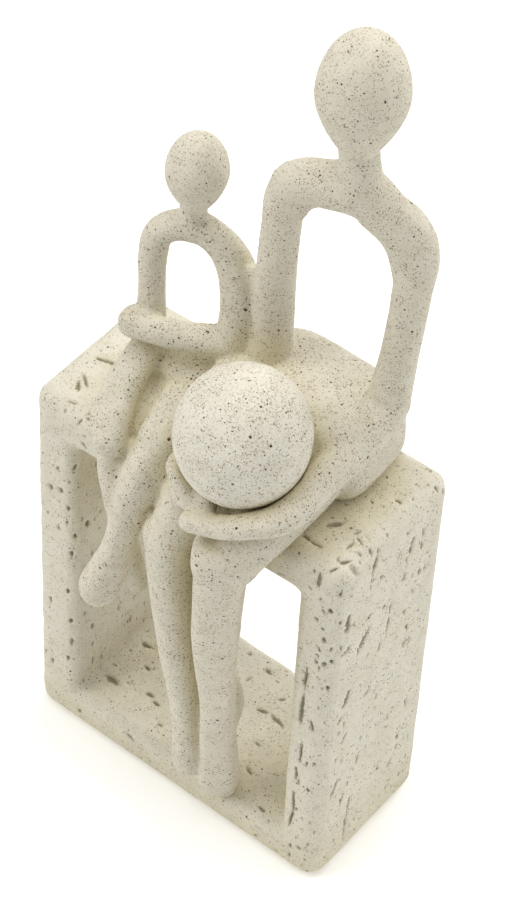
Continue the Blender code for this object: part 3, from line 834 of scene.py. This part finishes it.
def stone(name, colour, crowd, reach, pits=False):
    """Matte cast stone, with painted shade that makes it yellower and darker in hollows, which are sought
    within reach.

    crowd scales how many specks it holds, and pits darkens the mesh's pits.
    """
    nodes = Nodes(name)
    place = nodes.add("TexCoord").outputs["Object"]
    wander = nodes.add("TexNoise", {}, {"Vector": place, "Scale": 1 / (0.22 * MM), "Detail": 1.0})
    offset = {0: wander.outputs["Color"], 1: (0.26 * MM,) * 3, 2: place}
    ragged = nodes.add("VectorMath", {"operation": "MULTIPLY_ADD"}, offset).outputs[0]
    crowding = nodes.maths("MULTIPLY", nodes.ramp(nodes.noise(place, 4 * MM, 2.0), 0.30, 0.70), 1.3)
    crowding = nodes.maths("ADD", crowding, 0.35)
    # Painted shade: the stone turns yellower and darker where walls close round it
    tint = painted_hollow_shade(nodes, mottled(nodes, place, colour), reach)
    relief = nodes.noise(place, 0.5 * MM, 3.0)
    tint, relief = speckled(nodes, tint, relief, ragged, nodes.maths("MULTIPLY", crowding, crowd))
    if pits:
        tint, relief = pitted(nodes, tint, relief, place, ragged, crowding)
    bump = nodes.add("Bump", {}, {"Strength": 0.35, "Distance": 0.15 * MM, "Height": relief})
    nodes.link(nodes.shader.inputs["Base Color"], tint)
    nodes.link(nodes.shader.inputs["Normal"], bump.outputs["Normal"])
    nodes.shader.inputs["Roughness"].default_value = 0.88
    nodes.shader.inputs["Specular IOR Level"].default_value = 0.12
    return nodes.material


class Pit:
    """A hollow with a ragged rim, from start to end."""

    def __init__(self, start, end, width, sink, seed):
        self.middle = (start + end) / 2
        along = end - start
        self.half = np.linalg.norm(along) / 2 + width / 2
        self.along = along / max(np.linalg.norm(along), 1e-9)
        self.width = width
        self.sink = sink
        self.seed = seed

    def depth(self, points, margin=0.0):
        """The indices of the points near the pit, and how deep it is at each.

        margin moves its rim out.
        """
        half = self.half + margin
        near = np.flatnonzero(np.abs(points - self.middle).max(axis=1) < half * 1.5)
        local = points[near] - self.middle
        ahead = local @ self.along
        aside = np.linalg.norm(local - ahead[:, None] * self.along, axis=1)
        rag = 1 + 0.35 * cloud(points[near], 0.8 * MM, self.seed)
        reach = np.hypot(ahead / half, aside / (self.width / 2 + margin)) * rag
        return near, self.sink * np.clip(1 - reach ** 2, 0, 1) ** 0.8


def pit_depths(points, pits, margin=0.0):
    depth = np.zeros(len(points))
    for pit in pits:
        near, sink = pit.depth(points, margin)
        depth[near] = np.maximum(depth[near], sink)
    return depth


def seen_pits(tree):
    """The pits that the photograph shows, each cast from its pixels onto the block."""
    pits = []
    for number, (first, last, width, sink) in enumerate(SEEN_PITS):
        hits = [tree.ray_cast(CAMERA_PLACE, sight_line(pixel))[0] for pixel in (first, last)]
        if None not in hits:
            start, end = (np.array(hit) for hit in hits)
            pits.append(Pit(start, end, width * MM, sink * MM, number))
    return pits


def strewn_pits(points, facing, count, rng):
    """Pits all over the block, longest up its posts, fewer and rounder on the flat tops."""
    pits = []
    for number in range(count):
        index = rng.randrange(len(points))
        centre, outward = points[index], Vector(facing[index])
        upright = Vector((rng.gauss(0, 0.15), 0.18 + rng.gauss(0, 0.12), 1.0))
        sideways = Vector((1.0, rng.gauss(0, 0.8), 0.0))
        along = sideways if abs(outward.z) > 0.7 else upright
        along = (along - outward * along.dot(outward)).normalized()
        size = rng.random() ** 3
        reach = np.array(along) * (0.1 + 1.5 * size * rng.random()) * MM
        width = (0.45 + 0.65 * size) * MM
        sink = (0.30 + 0.45 * size) * MM
        pits.append(Pit(centre - reach, centre + reach, width, sink, 100 + number))
    return pits


def refine(mesh, pits, margin):
    """Splits the edges in and round the pits."""
    inside = pit_depths(coordinates(mesh), pits, margin) > 0
    shape = bmesh.new()
    shape.from_mesh(mesh)
    edges = [edge for edge in shape.edges if inside[edge.verts[0].index] and inside[edge.verts[1].index]]
    bmesh.ops.subdivide_edges(shape, edges=edges, cuts=1, use_grid_fill=True)
    bmesh.ops.triangulate(shape, faces=[face for face in shape.faces if len(face.verts) > 4])
    shape.to_mesh(mesh)
    shape.free()


def make_block():
    """The block, with worn edges and pits sunk in its faces."""
    block = solid_copy("frame_block", "pitted_block")
    remesh(block, BLOCK_VOXEL)
    mesh = bake(block)
    mesh.materials.clear()
    relax(mesh, BLOCK_ROUNDS)
    points, facing = coordinates(mesh), normals(mesh)
    faces = [list(face.vertices) for face in mesh.polygons]
    tree = BVHTree.FromPolygons([Vector(point) for point in points], faces)
    pits = seen_pits(tree)
    pits += strewn_pits(points, facing, STREWN_PITS, random.Random(STREWN_SEED))
    for margin in FINER_MARGINS:
        refine(mesh, pits, margin * MM)
    points, facing = coordinates(mesh), normals(mesh)
    edge = 1 - np.abs(facing).max(axis=1)
    worn = 0.10 + 0.10 * cloud(points, 9 * MM, 1) + 0.05 * cloud(points, 2.5 * MM, 2)
    worn += np.clip(edge * 3, 0, 1) * (0.16 + 0.26 * cloud(points, 4 * MM, 3))
    depth = pit_depths(points, pits)
    move_to(mesh, points - facing * (np.maximum(worn, 0) * MM + depth)[:, None])
    mesh.shade_smooth()
    mark(mesh, "pit", depth / (0.6 * MM))
    material = stone("pitted_stone", BLOCK_COLOUR, 0.45, BLOCK_SHADE_REACH * MM, pits=True)
    settle(block, "frame_block", material)


def make_figures():
    """Mother and child, from the solid's own forms at a finer grain, with a faint unevenness."""
    figures = bpy.data.objects.new("seated_figures", fuse("seated_figures", mother_forms() + child_forms()))
    bpy.context.scene.collection.objects.link(figures)
    remesh(figures, FIGURE_VOXEL)
    soften = figures.modifiers.new("soften", "SMOOTH")
    soften.factor = 0.5
    soften.iterations = FIGURE_ROUNDS
    bake(figures)
    rooms = [
        solid_copy("frame_block", "block_room", SEAT_CLEARANCE),
        solid_copy("belly_ball", "ball_room", BALL_CLEARANCE),
    ]
    for room in rooms:
        cutting = figures.modifiers.new("cut_by_" + room.name, "BOOLEAN")
        cutting.operation = "DIFFERENCE"
        cutting.solver = "EXACT"
        cutting.object = room
    mesh = bake(figures)
    for room in rooms:
        bpy.data.objects.remove(room)
    points, facing = coordinates(mesh), normals(mesh)
    uneven = 0.06 * cloud(points, 5 * MM, 11) + 0.03 * cloud(points, 1.8 * MM, 12) - 0.05
    move_to(mesh, points + facing * (uneven * MM)[:, None])
    mesh.shade_smooth()
    material = stone("figure_stone", CAST_COLOUR, 1.0, CARVED_SHADE_REACH * MM)
    settle(figures, "mother_and_child", material)


def make_ball():
    """The ball, rounder than its solid and a little uneven."""
    centre = np.array((BALL_LOW + BALL_HIGH) / 2)
    radii = np.array((BALL_HIGH - BALL_LOW) / 2)
    shape = bmesh.new()
    bmesh.ops.create_icosphere(shape, subdivisions=7, radius=1.0)
    mesh = bpy.data.meshes.new("unborn_child")
    shape.to_mesh(mesh)
    shape.free()
    facing = coordinates(mesh)
    points = facing * radii
    uneven = 0.04 * cloud(points + centre, 6 * MM, 21) + 0.02 * cloud(points + centre, 1.5 * MM, 22) - 0.05
    move_to(mesh, points + centre + facing * (uneven * MM)[:, None])
    mesh.shade_smooth()
    ball = bpy.data.objects.new("unborn_child", mesh)
    bpy.context.scene.collection.objects.link(ball)
    material = stone("speckled_ball_stone", BALL_COLOUR, 1.15, CARVED_SHADE_REACH * MM)
    settle(ball, "belly_ball", material)


def make_floor():
    shape = bmesh.new()
    bmesh.ops.create_grid(shape, x_segments=1, y_segments=1, size=3.0)
    mesh = bpy.data.meshes.new("floor")
    shape.to_mesh(mesh)
    shape.free()
    floor = bpy.data.objects.new("floor", mesh)
    nodes = Nodes("pale_floor")
    nodes.shader.inputs["Base Color"].default_value = (0.93, 0.93, 0.93, 1.0)
    nodes.shader.inputs["Roughness"].default_value = 1.0
    nodes.shader.inputs["Specular IOR Level"].default_value = 0.0
    nodes.shader.inputs["Emission Color"].default_value = (1.0, 1.0, 1.0, 1.0)
    nodes.shader.inputs["Emission Strength"].default_value = 0.20
    mesh.materials.append(nodes.material)
    bpy.context.scene.collection.objects.link(floor)


def area_light(name, place, target, size, power, colour):
    data = bpy.data.lights.new(name, "AREA")
    data.size = size
    data.energy = power
    data.color = colour
    light = bpy.data.objects.new(name, data)
    light.location = place
    light.rotation_euler = (Vector(target) - Vector(place)).to_track_quat("-Z", "Y").to_euler()
    bpy.context.scene.collection.objects.link(light)


def make_light():
    """Broad soft lights above, behind and on both sides. The camera's side is darkest."""
    area_light("overhead", (-0.05, 0.0, 1.5), (0, 0, 0.12), 1.2, 13.0, (1.0, 0.985, 0.95))
    area_light("left", (-1.1, -1.05, 1.3), (0, 0, 0.08), 1.2, 19.0, (1.0, 0.99, 0.96))
    area_light("right", (1.3, 0.2, 1.0), (0, 0, 0.10), 1.2, 8.0, (1.0, 0.985, 0.96))
    area_light("back", (0.1, 1.4, 0.9), (0, 0, 0.08), 1.2, 14.0, (1.0, 0.985, 0.95))
    world = bpy.data.worlds.new("studio")
    world.use_nodes = True
    background = world.node_tree.nodes["Background"]
    background.inputs["Color"].default_value = (1.0, 1.0, 1.0, 1.0)
    background.inputs["Strength"].default_value = 0.12
    bpy.context.scene.world = world
    bpy.context.scene.view_settings.view_transform = "Standard"


make_camera()
make_light()
make_floor()
make_block()
make_figures()
make_ball()
